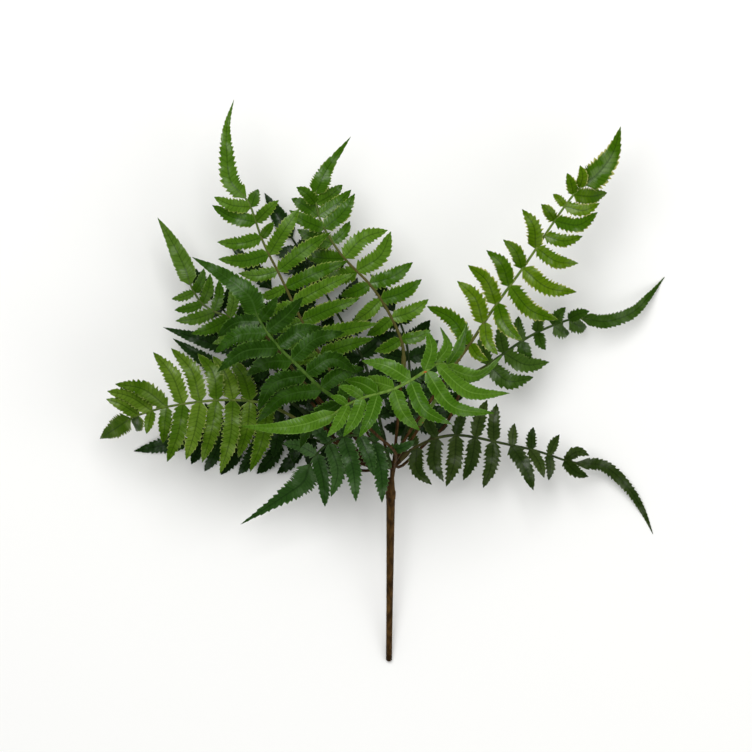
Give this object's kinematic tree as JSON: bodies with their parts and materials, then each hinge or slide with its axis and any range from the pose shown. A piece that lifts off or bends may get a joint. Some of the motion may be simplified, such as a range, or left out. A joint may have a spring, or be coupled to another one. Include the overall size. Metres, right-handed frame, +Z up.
{
  "type": "artificial fern spray",
  "caption": "Artificial fern spray lying flat: a brown coated stem with wires that carry toothed green plastic fronds, each with pairs of leaflets and a long end leaflet.",
  "frame": {"origin": "middle of the spray's box, at the height of the surface that it lies on", "axes": "+Y from the stem's cut end towards the fronds, +Z up from the surface, +X to the right as it is seen from above"},
  "size_m": [0.4536, 0.4508, 0.1625],
  "materials": {
    "stem_coating": "brown coating with fine lengthwise streaks, satin",
    "leaf_bright": "bright green moulded leaf with lighter edges, satin",
    "leaf_mid": "mid green moulded leaf with sunken veins, satin",
    "leaf_deep": "deep green moulded leaf with sunken veins, satin",
    "leaf_dark": "dark green moulded leaf with sunken veins, satin"
  },
  "bodies": {
    "root": {"stem_and_wires": "stem_coating", "frond_front": "leaf_bright", "frond_top_right": "leaf_bright", "frond_top_left": "leaf_mid", "frond_low_left": "leaf_mid", "frond_top_mid": "leaf_mid", "frond_left": "leaf_mid", "frond_front_left": "leaf_deep", "frond_low_mid": "leaf_deep", "frond_right": "leaf_deep", "frond_low_right": "leaf_dark", "frond_back_top": "leaf_dark", "frond_back_high": "leaf_dark", "frond_floor_left": "leaf_dark", "frond_left_dark": "leaf_dark", "frond_left_deep": "leaf_dark", "frond_back_mid": "leaf_dark", "frond_back_left": "leaf_dark", "frond_back_low": "leaf_dark", "frond_back_right": "leaf_dark", "frond_back_far": "leaf_dark"}
  },
  "joints": []
}
